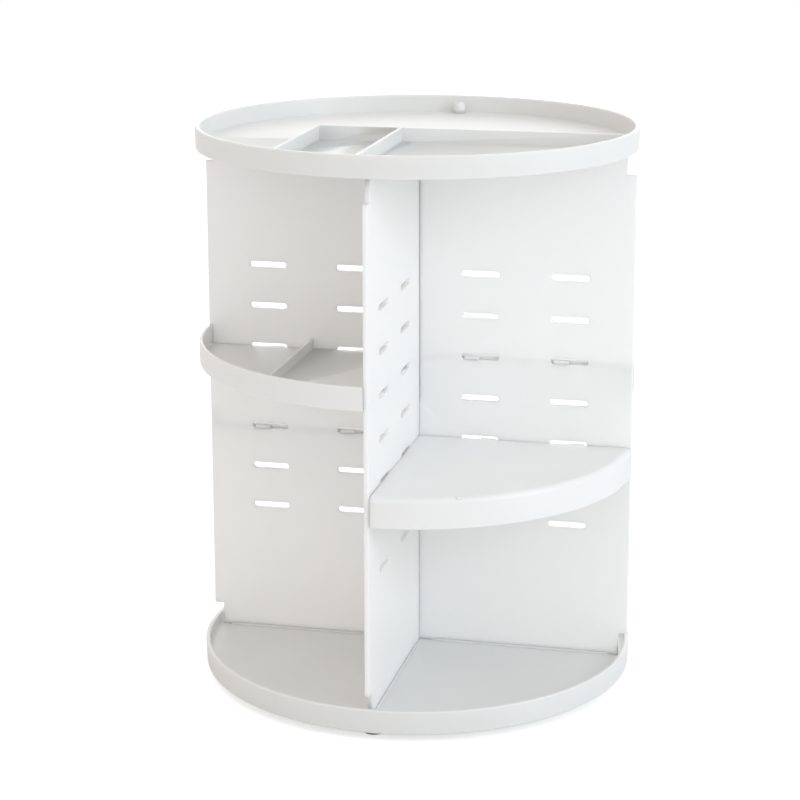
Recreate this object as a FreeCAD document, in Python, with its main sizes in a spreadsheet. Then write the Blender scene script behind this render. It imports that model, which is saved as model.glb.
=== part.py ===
import FreeCAD, Part

import math
import os
import re

import Sketcher

# Rotating cosmetic tower. The turning axis is Z, the rubber feet stand on Z = 0, and the
# two upright boards lie along X and along Y. All sizes are in millimetres.

DRIVING_SIZES = {
    # the round trays
    "tray_radius": 115.0,
    "tray_wall": 2.5,
    "tray_edge_round": 0.6,
    # base tray
    "base_clearance": 4.5,
    "base_height": 12.5,
    "base_floor_rise": 5.5,
    "base_floor": 2.0,
    "base_taper": 0.5,
    "guide_rib_height": 1.0,
    "guide_rib_wall": 1.2,
    "guide_rib_start": 9.0,
    # top tray
    "top_height": 11.5,
    "top_floor": 2.0,
    "divider_wall": 1.6,
    "divider_height": 7.5,
    "cross_divider_offset": 6.2,
    "inner_divider_offset": 7.4,
    "outer_divider_offset": 51.6,
    "boss_radius": 3.3,
    "boss_height": 6.4,
    # upright boards
    "board_thickness": 2.5,
    "board_height": 272.0,
    "corner_notch_width": 5.0,
    "corner_notch_height": 12.0,
    "halving_clearance": 0.05,
    "peg_radius": 1.2,
    "peg_length": 1.4,
    "peg_inset": 7.6,
    "peg_clearance": 0.15,
    # hanging slots
    "slot_length": 20.0,
    "slot_height": 3.2,
    "slot_rows": 7,
    "row_pitch": 22.33,
    "lowest_row": 70.8,
    "inner_slot": 34.0,
    "outer_slot": 81.5,
    # quarter shelves
    "shelf_plate": 2.0,
    "shelf_rim_wall": 2.0,
    "shelf_gap": 0.15,
    "shelf_plate_lift": 0.1,
    "tongue_width": 8.0,
    "tongue_thickness": 1.6,
    "tongue_tip_gap": 0.2,
    "tongue_seat_gap": 0.05,
    "cup_shelf_depth": 12.4,
    "cup_shelf_round": 1.0,
    "cup_divider_height": 5.5,
    "cup_divider_offset": 57.5,
    "flat_shelf_depth": 15.7,
    "flat_shelf_round": 3.0,
    "nub_radius": 1.1,
    "nub_height": 0.3,
    "nub_inset": 1.5,
    "nub_angle": 22.5,
    "upper_shelf_row": 5,
    "lower_shelf_row": 3,
    # turntable
    "foot_disc_radius": 106.0,
    "foot_disc_thickness": 2.0,
    "rubber_foot_count": 4,
    "rubber_foot_radius": 5.0,
    "rubber_foot_height": 2.0,
    "rubber_foot_inset": 5.0,
    "foot_stem_radius": 2.0,
    "foot_stem_length": 1.5,
    "ball_radius": 2.0,
    "ball_count": 24,
    "ball_circle": 70.0,
    "race_half_width": 4.5,
    "race_groove": 0.5,
    "ball_play": 0.05,
    "lower_race_height": 1.6,
    "race_seat_depth": 1.0,
    "race_seat_clearance": 0.1,
    "cage_half_width": 4.2,
    "cage_thickness": 1.6,
    "cage_pocket_play": 0.15,
    "race_screw_count": 4,
    "race_screw_radius": 1.25,
    "race_screw_head": 2.2,
    "race_screw_length": 3.9,
    "race_screw_place": 76.5,
    "race_lug_radius": 4.0,
    # centre pivot
    "pivot_radius": 6.0,
    "pivot_play": 0.06,
    "hub_radius": 12.0,
    "hub_height": 3.0,
    "hub_recess_radius": 10.5,
    "hub_recess_depth": 1.6,
    "washer_radius": 9.5,
    "washer_thickness": 0.8,
    "washer_play": 0.1,
    "centre_screw_radius": 1.5,
    "centre_screw_length": 6.8,
    "centre_head_radius": 3.2,
    "centre_head_height": 1.4,
    "screw_hole_play": 0.05,
}

DERIVED_SIZES = {
    "base_underside": "base_clearance + base_floor_rise",
    "base_floor_top": "base_underside + base_floor",
    "base_rim_top": "base_clearance + base_height",
    "board_foot": "base_floor_top",
    "board_top": "board_foot + board_height",
    "tray_inside": "tray_radius - tray_wall",
    "base_lower_radius": "tray_radius - base_taper",
    "peg_place": "tray_radius - peg_inset",
    "shelf_edge": "board_thickness / 2 + shelf_gap",
    "tongue_tip": "board_thickness / 2 - tongue_tip_gap",
    "plate_top": "shelf_plate_lift",
    "plate_bottom": "shelf_plate_lift - shelf_plate",
    "tongue_bottom": "tongue_seat_gap - slot_height / 2",
    "tongue_root": "shelf_edge + shelf_rim_wall",
    "tongue_offset": "(slot_length - slot_height - tongue_width) / 2",
    "rubber_foot_place": "foot_disc_radius - rubber_foot_inset",
    "disc_bottom": "rubber_foot_height",
    "disc_top": "disc_bottom + foot_disc_thickness",
    "lower_race_bottom": "disc_top - race_seat_depth",
    "lower_race_top": "lower_race_bottom + lower_race_height",
    "ball_height": "lower_race_top - race_groove + ball_play + ball_radius",
    "upper_race_bottom": "ball_height + ball_radius + ball_play - race_groove",
    "groove_radius": "ball_radius + ball_play",
    "hub_bottom": "disc_bottom + hub_recess_depth",
    "hub_top": "disc_top + hub_height",
    "pivot_bottom": "hub_bottom - washer_play",
    "washer_bottom": "pivot_bottom - washer_thickness",
}

FUNCTIONS = {"cos", "sin", "sqrt", "min", "max"}

doc = FreeCAD.newDocument("rotating_organizer")
sheet = doc.addObject("Spreadsheet::Sheet", "sizes")


def fill_sheet():
    """Write every named size to its own cell, the derived ones as formulas."""
    rows = list(DRIVING_SIZES.items())
    rows += [(name, "=" + formula) for name, formula in DERIVED_SIZES.items()]
    for row, (name, content) in enumerate(rows, start=1):
        sheet.set("A%d" % row, name)
        sheet.set("B%d" % row, str(content))
        sheet.setAlias("B%d" % row, name)
    doc.recompute()


def bound(expression):
    """The expression with each size name pointing at its cell."""

    def point(match):
        word = match.group(0)
        return word if word in FUNCTIONS else "sizes." + word

    return re.sub(r"[a-z][a-z_]+", point, expression)


def number(expression):
    """The present value of an expression of sizes."""
    return float(sheet.evalExpression(bound(expression)))


def chord_reach(radius, offset):
    """How far along an axis a circle about the origin reaches at an offset from that axis."""
    return "sqrt((%s) * (%s) - (%s) * (%s))" % (radius, radius, offset, offset)


# ---------------------------------------------------------------- sketches


class Drawing:
    """A sketch on one of a body's own planes, lifted off it, with every size bound to the sheet."""

    def __init__(self, body, plane, name, lift="0"):
        self.sketch = body.newObject("Sketcher::SketchObject", name)
        features = body.Origin.OriginFeatures
        support = next(item for item in features if item.Role == plane)
        self.sketch.AttachmentSupport = [(support, "")]
        self.sketch.MapMode = "FlatFace"
        self.sketch.AttachmentOffset = FreeCAD.Placement()
        self.sketch.setExpression("AttachmentOffset.Base.z", bound(lift))

    def size(self, kind, *references, value):
        """Add a driving constraint whose value follows an expression."""
        index = self.sketch.addConstraint(Sketcher.Constraint(kind, *references, number(value)))
        self.sketch.setExpression("Constraints[%d]" % index, bound(value))

    def place(self, geometry, point, across, up):
        """Fix a point of the sketch at (across, up) from the origin."""
        for kind, axis, value in (("DistanceX", -2, across), ("DistanceY", -1, up)):
            if value == "0":
                self.sketch.addConstraint(Sketcher.Constraint("PointOnObject", geometry, point, axis))
            else:
                self.size(kind, -1, 1, geometry, point, value=value)

    def polygon(self, corners):
        """A closed outline through the corners, each a pair of expressions."""
        points = [FreeCAD.Vector(number(across), number(up), 0) for across, up in corners]
        lines = []
        for start, end in zip(points, points[1:] + points[:1]):
            lines.append(self.sketch.addGeometry(Part.LineSegment(start, end)))
        for line, following in zip(lines, lines[1:] + lines[:1]):
            self.sketch.addConstraint(Sketcher.Constraint("Coincident", line, 2, following, 1))
        for line, (across, up) in zip(lines, corners):
            self.place(line, 1, across, up)

    def rectangle(self, left, bottom, right, top):
        """A rectangle between two corners."""
        self.polygon([(left, bottom), (right, bottom), (right, top), (left, top)])

    def circle(self, across, up, radius):
        """A full circle."""
        centre = FreeCAD.Vector(number(across), number(up), 0)
        ring = self.sketch.addGeometry(Part.Circle(centre, FreeCAD.Vector(0, 0, 1), number(radius)))
        self.place(ring, 3, across, up)
        self.size("Radius", ring, value=radius)

    def stadium(self, across, up, length, height):
        """A slot with half-round ends about a centre."""
        half = "(%s - %s) / 2" % (length, height)
        radius = number(height) / 2
        left = FreeCAD.Vector(number("%s - %s" % (across, half)), number(up), 0)
        right = FreeCAD.Vector(number("%s + %s" % (across, half)), number(up), 0)
        rise = FreeCAD.Vector(0, radius, 0)
        normal = FreeCAD.Vector(0, 0, 1)
        quarter = math.pi / 2
        bottom = self.sketch.addGeometry(Part.LineSegment(left - rise, right - rise))
        end_right = self.sketch.addGeometry(
            Part.ArcOfCircle(Part.Circle(right, normal, radius), -quarter, quarter)
        )
        top = self.sketch.addGeometry(Part.LineSegment(right + rise, left + rise))
        end_left = self.sketch.addGeometry(
            Part.ArcOfCircle(Part.Circle(left, normal, radius), quarter, 3 * quarter)
        )
        self.sketch.addConstraint(Sketcher.Constraint("Tangent", bottom, 2, end_right, 1))
        self.sketch.addConstraint(Sketcher.Constraint("Tangent", end_right, 2, top, 1))
        self.sketch.addConstraint(Sketcher.Constraint("Tangent", top, 2, end_left, 1))
        self.sketch.addConstraint(Sketcher.Constraint("Tangent", end_left, 2, bottom, 1))
        self.size("Radius", end_right, value="%s / 2" % height)
        self.place(end_left, 3, "%s - %s" % (across, half), up)
        self.place(end_right, 3, "%s + %s" % (across, half), up)

    def sector(self, outer, edge, inner=None):
        """A quarter disc, or quarter ring, about the origin, set back from both axes by the edge."""
        reach = chord_reach(outer, edge)
        near = chord_reach(inner, edge) if inner else edge
        along_x = self.side(near, reach, edge, along_x=True)
        along_y = self.side(near, reach, edge, along_x=False)
        rim = self.arc(outer, edge)
        self.join(along_x, 2, rim, 1)
        self.join(along_y, 2, rim, 2)
        if inner:
            hollow = self.arc(inner, edge)
            self.join(along_x, 1, hollow, 1)
            self.join(along_y, 1, hollow, 2)
        else:
            self.join(along_x, 1, along_y, 1)
            self.place(along_x, 1, edge, edge)

    def arc(self, radius, edge):
        """An arc about the origin, anticlockwise between the points at the edge's distance."""
        span = math.asin(number(edge) / number(radius))
        circle = Part.Circle(FreeCAD.Vector(), FreeCAD.Vector(0, 0, 1), number(radius))
        arc = self.sketch.addGeometry(Part.ArcOfCircle(circle, span, math.pi / 2 - span))
        self.join(arc, 3, -1, 1)
        self.size("Radius", arc, value=radius)
        self.size("DistanceY", -1, 1, arc, 1, value=edge)
        self.size("DistanceX", -1, 1, arc, 2, value=edge)
        return arc

    def side(self, near, far, edge, along_x):
        """A straight side from near to far, at the edge's distance from the axis it runs along."""
        start = FreeCAD.Vector(number(near), number(edge), 0)
        end = FreeCAD.Vector(number(far), number(edge), 0)
        if not along_x:
            start = FreeCAD.Vector(start.y, start.x, 0)
            end = FreeCAD.Vector(end.y, end.x, 0)
        return self.sketch.addGeometry(Part.LineSegment(start, end))

    def join(self, first, first_point, second, second_point):
        """Make two ends meet."""
        self.sketch.addConstraint(
            Sketcher.Constraint("Coincident", first, first_point, second, second_point)
        )


# ---------------------------------------------------------------- features


def new_body(label):
    """A body named for the piece it models."""
    body = doc.addObject("PartDesign::Body", label)
    body.Label = label
    return body


def pad(drawing, name, length, symmetric=False):
    """Raise a drawing along its plane's normal, or half to each side of it."""
    feature = body_of(drawing).newObject("PartDesign::Pad", name)
    feature.Profile = drawing.sketch
    feature.SideType = "Symmetric" if symmetric else "One side"
    feature.setExpression("Length", bound(length))
    doc.recompute()
    return feature


def pocket(drawing, name, length, upwards=False, symmetric=False):
    """Cut a drawing into its body, and make sure that it removed something."""
    body = body_of(drawing)
    before = body.Shape.Volume
    feature = body.newObject("PartDesign::Pocket", name)
    feature.Profile = drawing.sketch
    feature.Reversed = upwards
    feature.SideType = "Symmetric" if symmetric else "One side"
    feature.setExpression("Length", bound(length))
    doc.recompute()
    assert body.Shape.Volume < before, "%s of %s cuts nothing" % (name, body.Label)
    return feature


def revolve(drawing, name):
    """Turn a drawing once round the Z axis."""
    feature = body_of(drawing).newObject("PartDesign::Revolution", name)
    feature.Profile = drawing.sketch
    feature.ReferenceAxis = (drawing.sketch, ["V_Axis"])
    feature.Angle = 360
    doc.recompute()
    return feature


def body_of(drawing):
    """The body that a drawing belongs to."""
    return drawing.sketch.getParentGeoFeatureGroup()


def round_edges(body, name, radius, chosen):
    """Fillet the edges of the body's present solid for which chosen(edge) is true."""
    base = body.Tip
    edges = ["Edge%d" % (i + 1) for i, edge in enumerate(base.Shape.Edges) if chosen(edge)]
    assert edges, "%s of %s finds no edge" % (name, body.Label)
    feature = body.newObject("PartDesign::Fillet", name)
    feature.Base = (base, edges)
    feature.setExpression("Radius", bound(radius))
    doc.recompute()
    return feature


def close(value, expression):
    """Whether a measured length equals an expression of sizes."""
    return abs(value - number(expression)) < 1e-4


def arc_at(radius, height):
    """A test for level round edges of this radius at this height."""

    def test(edge):
        return (
            isinstance(edge.Curve, Part.Circle)
            and close(edge.Curve.Radius, radius)
            and close(edge.BoundBox.ZMin, height)
            and close(edge.BoundBox.ZMax, height)
        )

    return test


def either(*tests):
    """A test that passes what any of the tests passes."""
    return lambda edge: any(test(edge) for test in tests)


def solid(kind, name, at=("0", "0", "0"), **sizes):
    """A Part primitive with its sizes and its place bound to the sheet."""
    item = doc.addObject("Part::" + kind, name)
    for size, expression in sizes.items():
        item.setExpression(size, bound(expression))
    for axis, expression in zip("xyz", at):
        item.setExpression("Placement.Base." + axis, bound(expression))
    return item


def cylinder(name, at, radius, height):
    """An upright cylinder standing on the given point."""
    return solid("Cylinder", name, at, Radius=radius, Height=height)


def cut(name, base, tool):
    """The base without the tool."""
    item = doc.addObject("Part::Cut", name)
    item.Base = base
    item.Tool = tool
    item.Label = name
    return item


def fuse(name, first, second):
    """Two solids made one."""
    item = doc.addObject("Part::Fuse", name)
    item.Base = first
    item.Tool = second
    item.Label = name
    return item


def group(name, members):
    """Separate solids of one kind that share a node."""
    item = doc.addObject("Part::Compound", name)
    item.Links = members
    item.Label = name
    return item


def tube(name, inner, outer, bottom, top):
    """A plain ring about the Z axis."""
    height = "%s - (%s)" % (top, bottom)
    core = cylinder(name + "_bore", ("0", "0", bottom), inner, height)
    shell = cylinder(name + "_blank", ("0", "0", bottom), outer, height)
    return cut(name + "_tube", shell, core)


def around(place, turn):
    """The point at a radius and a turn, in degrees, about the Z axis."""
    return "(%s) * cos(%s)" % (place, turn), "(%s) * sin(%s)" % (place, turn)


# ---------------------------------------------------------------- turntable


def make_foot_disc():
    """The plate that stays on the table: race seat, raised hub and holes for the feet."""
    body = new_body("foot_disc")
    seat_inner = "ball_circle - race_half_width - race_seat_clearance"
    seat_outer = "ball_circle + race_half_width + race_seat_clearance"
    bore = "pivot_radius + pivot_play"
    profile = Drawing(body, "XZ_Plane", "foot_disc_profile")
    profile.polygon(
        [
            (bore, "hub_bottom"),
            ("hub_recess_radius", "hub_bottom"),
            ("hub_recess_radius", "disc_bottom"),
            ("foot_disc_radius", "disc_bottom"),
            ("foot_disc_radius", "disc_top"),
            (seat_outer, "disc_top"),
            (seat_outer, "lower_race_bottom"),
            (seat_inner, "lower_race_bottom"),
            (seat_inner, "disc_top"),
            ("hub_radius", "disc_top"),
            ("hub_radius", "hub_top"),
            (bore, "hub_top"),
        ]
    )
    revolve(profile, "foot_disc_turned")
    holes = Drawing(body, "XY_Plane", "foot_holes", lift="disc_bottom")
    for index in range(round(number("rubber_foot_count"))):
        across, up = around("rubber_foot_place", "%d * 360 / rubber_foot_count" % index)
        holes.circle(signed(across), signed(up), "foot_stem_radius + screw_hole_play")
    pocket(holes, "foot_hole_pocket", "foot_stem_length", upwards=True)
    return body


def signed(expression):
    """An expression, or a plain 0 where its present value vanishes."""
    return "0" if abs(number(expression)) < 1e-9 else expression


def make_rubber_feet():
    """The soft feet, each a node of its own with a stem in the foot disc."""
    feet = []
    for index in range(round(number("rubber_foot_count"))):
        across, up = around("rubber_foot_place", "%d * 360 / rubber_foot_count" % index)
        label = "rubber_foot_%d" % (index + 1)
        pad_at = (across, up, "0")
        stem_at = (across, up, "rubber_foot_height")
        disc = cylinder(label + "_pad", pad_at, "rubber_foot_radius", "rubber_foot_height")
        stem = cylinder(label + "_stem", stem_at, "foot_stem_radius", "foot_stem_length")
        feet.append(fuse(label, disc, stem))
    return feet


def make_lower_race():
    """The lower ball track, seated in the foot disc."""
    ring = tube(
        "lower_race",
        "ball_circle - race_half_width",
        "ball_circle + race_half_width",
        "lower_race_bottom",
        "lower_race_top",
    )
    return cut("lower_race", ring, ball_track("lower_race_track"))


def ball_track(name):
    """The ring that the balls sweep, with their play."""
    at = ("0", "0", "ball_height")
    return solid("Torus", name, at, Radius1="ball_circle", Radius2="groove_radius")


def make_upper_race():
    """The upper ball track with four screw lugs, under the base tray."""
    height = "base_underside - upper_race_bottom"
    inner = "ball_circle - race_half_width"
    outer = "ball_circle + race_half_width"
    shape = cylinder("upper_race_blank", ("0", "0", "upper_race_bottom"), outer, height)
    for index in range(round(number("race_screw_count"))):
        across, up = race_screw_point(index)
        lug_at = (across, up, "upper_race_bottom")
        lug = cylinder("race_lug_%d" % index, lug_at, "race_lug_radius", height)
        shape = fuse("race_with_lug_%d" % index, shape, lug)
    bore_at = ("0", "0", "upper_race_bottom")
    shape = cut("race_bored", shape, cylinder("race_bore", bore_at, inner, height))
    shape = cut("race_tracked", shape, ball_track("upper_race_track"))
    for index in range(round(number("race_screw_count"))):
        tool = race_screw("race_hole_%d" % index, index, "screw_hole_play")
        shape = cut("race_drilled_%d" % index, shape, tool)
    shape.Label = "upper_race"
    return shape


def race_screw_point(index):
    """Where a race screw stands, half way between the boards."""
    return around("race_screw_place", "45 + %d * 360 / race_screw_count" % index)


def race_screw(name, index, play="0"):
    """A countersunk screw, or with play the room that it needs."""
    across, up = race_screw_point(index)
    at = (across, up, "upper_race_bottom")
    shank_radius = "race_screw_radius + %s" % play
    head_radius = "race_screw_head + %s" % play
    cone = solid(
        "Cone",
        name + "_head",
        at,
        Radius1=head_radius,
        Radius2=shank_radius,
        Height="race_screw_head - race_screw_radius",
    )
    shank = solid(
        "Cylinder", name + "_shank", at, Radius=shank_radius, Height="race_screw_length + 2 * %s" % play
    )
    return fuse(name, cone, shank)


def make_race_screws():
    """The screws that hold the upper race under the base tray."""
    count = round(number("race_screw_count"))
    return group("race_screws", [race_screw("race_screw_%d" % index, index) for index in range(count)])


def make_balls():
    """The steel balls, evenly spaced on their circle."""
    balls = []
    for index in range(round(number("ball_count"))):
        across, up = ball_point(index)
        centre = (across, up, "ball_height")
        balls.append(solid("Sphere", "ball_%d" % index, centre, Radius="ball_radius"))
    return group("bearing_balls", balls)


def ball_point(index):
    """Where a ball lies on its circle."""
    return around("ball_circle", "%d * 360 / ball_count" % index)


def make_cage():
    """The flat ring that keeps the balls apart."""
    body = new_body("ball_cage")
    ring = Drawing(body, "XY_Plane", "cage_ring", lift="ball_height - cage_thickness / 2")
    ring.circle("0", "0", "ball_circle + cage_half_width")
    ring.circle("0", "0", "ball_circle - cage_half_width")
    for index in range(round(number("ball_count"))):
        across, up = ball_point(index)
        ring.circle(signed(across), signed(up), "ball_radius + cage_pocket_play")
    pad(ring, "cage_pad", "cage_thickness")
    return body


def make_centre_washer():
    """The washer that keeps the tower on its foot."""
    washer = tube(
        "centre_washer",
        "centre_screw_radius + screw_hole_play",
        "washer_radius",
        "washer_bottom",
        "pivot_bottom",
    )
    washer.Label = "centre_washer"
    return washer


def make_centre_screw():
    """The screw that closes the pivot from below."""
    head_at = ("0", "0", "washer_bottom - centre_head_height")
    shank_at = ("0", "0", "washer_bottom")
    head = cylinder("centre_head", head_at, "centre_head_radius", "centre_head_height")
    shank = cylinder("centre_shank", shank_at, "centre_screw_radius", "centre_screw_length")
    return fuse("centre_screw", head, shank)


# ---------------------------------------------------------------- round trays


def make_base_tray():
    """The round base: rim, floor, pivot boss, guide ribs for the boards and their peg holes."""
    body = new_body("base_tray")
    hole = "centre_screw_radius + screw_hole_play"
    hole_top = "washer_bottom + centre_screw_length + washer_play"
    profile = Drawing(body, "XZ_Plane", "base_profile")
    profile.polygon(
        [
            (hole, "pivot_bottom"),
            ("pivot_radius", "pivot_bottom"),
            ("pivot_radius", "base_underside"),
            ("tray_inside", "base_underside"),
            ("base_lower_radius - tray_wall", "base_clearance"),
            ("base_lower_radius", "base_clearance"),
            ("tray_radius", "base_rim_top"),
            ("tray_inside", "base_rim_top"),
            ("tray_inside", "base_floor_top"),
            ("0", "base_floor_top"),
            ("0", hole_top),
            (hole, hole_top),
        ]
    )
    revolve(profile, "base_turned")
    pegs = Drawing(body, "XY_Plane", "base_peg_holes", lift="base_floor_top")
    peg_circles(pegs)
    pocket(pegs, "base_peg_pocket", "peg_length + peg_clearance")
    screws = Drawing(body, "XY_Plane", "base_screw_holes", lift="base_underside")
    for index in range(round(number("race_screw_count"))):
        across, up = race_screw_point(index)
        screws.circle(across, up, "race_screw_radius + screw_hole_play")
    depth = "upper_race_bottom + race_screw_length - base_underside + 2 * screw_hole_play"
    pocket(screws, "base_screw_pocket", depth, upwards=True)
    round_edges(
        body,
        "base_rim_round",
        "tray_edge_round",
        either(
            arc_at("tray_radius", "base_rim_top"),
            arc_at("tray_inside", "base_rim_top"),
            arc_at("base_lower_radius", "base_clearance"),
        ),
    )
    ribs = Drawing(body, "XY_Plane", "base_guide_ribs", lift="base_floor_top")
    near = "board_thickness / 2 + halving_clearance"
    far = near + " + guide_rib_wall"
    end = "peg_place - 2 * guide_rib_wall"
    for left, right in (("guide_rib_start", end), ("0 - (%s)" % end, "0 - guide_rib_start")):
        for low, high in ((near, far), ("0 - (%s)" % far, "0 - (%s)" % near)):
            ribs.rectangle(left, low, right, high)
            ribs.rectangle(low, left, high, right)
    pad(ribs, "base_guide_rib_pad", "guide_rib_height")
    return body


def peg_circles(drawing):
    """The four peg holes under or over the boards' outer ends."""
    radius = "peg_radius + peg_clearance"
    for place in ("peg_place", "0 - peg_place"):
        drawing.circle(place, "0", radius)
        drawing.circle("0", place, radius)


def make_top_tray():
    """The round top tray with its three dividers and the two bosses over the pegs."""
    body = new_body("top_tray")
    floor_top = "board_top + top_floor"
    rim_top = "board_top + top_height"
    profile = Drawing(body, "XZ_Plane", "top_profile")
    profile.polygon(
        [
            ("0", "board_top"),
            ("tray_radius", "board_top"),
            ("tray_radius", rim_top),
            ("tray_inside", rim_top),
            ("tray_inside", floor_top),
            ("0", floor_top),
        ]
    )
    revolve(profile, "top_turned")
    pegs = Drawing(body, "XY_Plane", "top_peg_holes", lift="board_top")
    peg_circles(pegs)
    pocket(pegs, "top_peg_pocket", "peg_length + peg_clearance", upwards=True)
    round_edges(
        body,
        "top_rim_round",
        "tray_edge_round",
        either(
            arc_at("tray_radius", rim_top),
            arc_at("tray_inside", rim_top),
            arc_at("tray_radius", "board_top"),
        ),
    )
    walls = Drawing(body, "XY_Plane", "top_cross_divider", lift=floor_top)
    half = "divider_wall / 2"
    root = "(tray_radius + tray_inside) / 2"
    front = "0 - cross_divider_offset - " + half
    walls.rectangle(
        "0 - outer_divider_offset - " + half,
        front,
        chord_reach(root, "cross_divider_offset"),
        "0 - cross_divider_offset + " + half,
    )
    pad(walls, "top_cross_divider_pad", "divider_height")
    for name, offset in (("inner", "inner_divider_offset"), ("outer", "outer_divider_offset")):
        wall = Drawing(body, "XY_Plane", "top_%s_divider" % name, lift=floor_top)
        wall.rectangle(
            "0 - %s - %s" % (offset, half),
            "0 - " + chord_reach(root, offset),
            "0 - %s + %s" % (offset, half),
            "0 - cross_divider_offset",
        )
        pad(wall, "top_%s_divider_pad" % name, "divider_height")
    bosses = Drawing(body, "XY_Plane", "top_bosses", lift=floor_top)
    place = "tray_inside - boss_radius - tray_edge_round / 2"
    bosses.circle("0", place, "boss_radius")
    bosses.circle("0", "0 - (%s)" % place, "boss_radius")
    pad(bosses, "top_boss_pad", "boss_height")
    round_edges(
        body, "top_boss_round", "boss_radius * 0.8", arc_at("boss_radius", floor_top + " + boss_height")
    )
    return body


# ---------------------------------------------------------------- upright boards


def make_board(label, turn, slot_from_top):
    """An upright board across the whole tower, halved at the axis to pass its twin."""
    body = new_body(label)
    outline = Drawing(body, "XZ_Plane", label + "_outline")
    wide, narrow = "tray_radius", "tray_radius - corner_notch_width"
    low, high = "board_foot + corner_notch_height", "board_top - corner_notch_height"
    right = [
        (narrow, "board_foot"),
        (narrow, low),
        (wide, low),
        (wide, high),
        (narrow, high),
        (narrow, "board_top"),
    ]
    left = [("0 - (%s)" % across, up) for across, up in reversed(right)]
    outline.polygon(right + left)
    pad(outline, label + "_sheet", "board_thickness", symmetric=True)
    gap = "board_thickness / 2 + halving_clearance"
    middle = "board_foot + board_height / 2"
    halving = Drawing(body, "XZ_Plane", label + "_halving")
    if slot_from_top:
        halving.rectangle("0 - (%s)" % gap, middle + " - halving_clearance", gap, "board_top")
    else:
        halving.rectangle("0 - (%s)" % gap, "board_foot", gap, middle + " + halving_clearance")
    pocket(halving, label + "_halving_cut", "board_thickness * 2", symmetric=True)
    slots = Drawing(body, "XZ_Plane", label + "_slots")
    for place in ("inner_slot", "outer_slot"):
        for across in (place, "0 - " + place):
            slots.stadium(across, "board_foot + lowest_row", "slot_length", "slot_height")
    row = pocket(slots, label + "_slot_row", "board_thickness * 2", symmetric=True)
    rows = body.newObject("PartDesign::LinearPattern", label + "_slot_rows")
    rows.Originals = [row]
    rows.Direction = (slots.sketch, ["V_Axis"])
    rows.setExpression("Length", bound("row_pitch * (slot_rows - 1)"))
    rows.Occurrences = round(number("slot_rows"))
    body.Tip = rows
    doc.recompute()
    for name, lift in (("lower", "board_foot - peg_length"), ("upper", "board_top")):
        pegs = Drawing(body, "XY_Plane", "%s_%s_pegs" % (label, name), lift=lift)
        pegs.circle("peg_place", "0", "peg_radius")
        pegs.circle("0 - peg_place", "0", "peg_radius")
        pad(pegs, "%s_%s_peg_pad" % (label, name), "peg_length")
    body.Placement = FreeCAD.Placement(FreeCAD.Vector(), FreeCAD.Rotation(FreeCAD.Vector(0, 0, 1), turn))
    return body


# ---------------------------------------------------------------- quarter shelves


def make_shelf(label, quadrant, row, flat):
    """A quarter shelf on four tongues. It is drawn in the +X +Y quarter, at its slots' height."""
    body = new_body(label)
    depth = "flat_shelf_depth" if flat else "cup_shelf_depth"
    low = "plate_top - " + depth if flat else "plate_bottom"
    plate = Drawing(body, "XY_Plane", label + "_plate", lift="plate_bottom")
    plate.sector("tray_radius", "shelf_edge")
    pad(plate, label + "_plate_pad", "shelf_plate")
    rim = Drawing(body, "XY_Plane", label + "_rim", lift=low)
    rim.sector("tray_radius", "shelf_edge", inner="tray_radius - shelf_rim_wall")
    pad(rim, label + "_rim_pad", depth)
    shoulder = arc_at("tray_radius", "plate_top" if flat else low)
    round_edges(body, label + "_shoulder", "flat_shelf_round" if flat else "cup_shelf_round", shoulder)
    # The tongues take the inner half of a slot on one side of the shelf and the outer half on the
    # other, so two neighbours can hang at one height.
    for side, half in (("x", "-"), ("y", "+")):
        tongues = Drawing(body, "XY_Plane", "%s_tongues_%s" % (label, side), lift="tongue_bottom")
        for place in ("inner_slot", "outer_slot"):
            middle = "%s %s tongue_offset" % (place, half)
            near, far = middle + " - tongue_width / 2", middle + " + tongue_width / 2"
            if side == "x":
                tongues.rectangle(near, "0 - tongue_tip", far, "tongue_root")
            else:
                tongues.rectangle("0 - tongue_tip", near, "tongue_root", far)
        pad(tongues, "%s_tongue_pad_%s" % (label, side), "tongue_thickness")
    if flat:
        nub = Drawing(body, "XY_Plane", label + "_nub", lift="plate_bottom")
        nub.circle(*around("tray_radius - nub_inset", "nub_angle"), "nub_radius")
        pad(nub, label + "_nub_pad", "shelf_plate + nub_height")
    else:
        wall = Drawing(body, "XY_Plane", label + "_divider", lift="plate_top")
        root = "tray_radius - shelf_rim_wall / 2"
        wall.rectangle(
            "cup_divider_offset - divider_wall / 2",
            "shelf_edge",
            "cup_divider_offset + divider_wall / 2",
            chord_reach(root, "cup_divider_offset"),
        )
        pad(wall, label + "_divider_pad", "cup_divider_height")
    turn = FreeCAD.Rotation(FreeCAD.Vector(0, 0, 1), 90 * quadrant)
    height = number("board_foot + lowest_row + row_pitch * (%s - 1)" % row)
    body.Placement = FreeCAD.Placement(FreeCAD.Vector(0, 0, height), turn)
    body.setExpression("Placement.Base.z", bound("board_foot + lowest_row + row_pitch * (%s - 1)" % row))
    return body


# ---------------------------------------------------------------- assembly


def check(pieces):
    """Stop if anything in the document failed or a piece isn't a sound solid."""
    for item in doc.Objects:
        wrong = {"Invalid", "Error"} & set(item.State)
        assert not wrong, "%s is %s" % (item.Label, wrong)
    for piece in pieces:
        shape = piece.Shape
        assert not shape.isNull() and shape.isValid() and shape.Solids, "%s is not sound" % piece.Label


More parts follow.
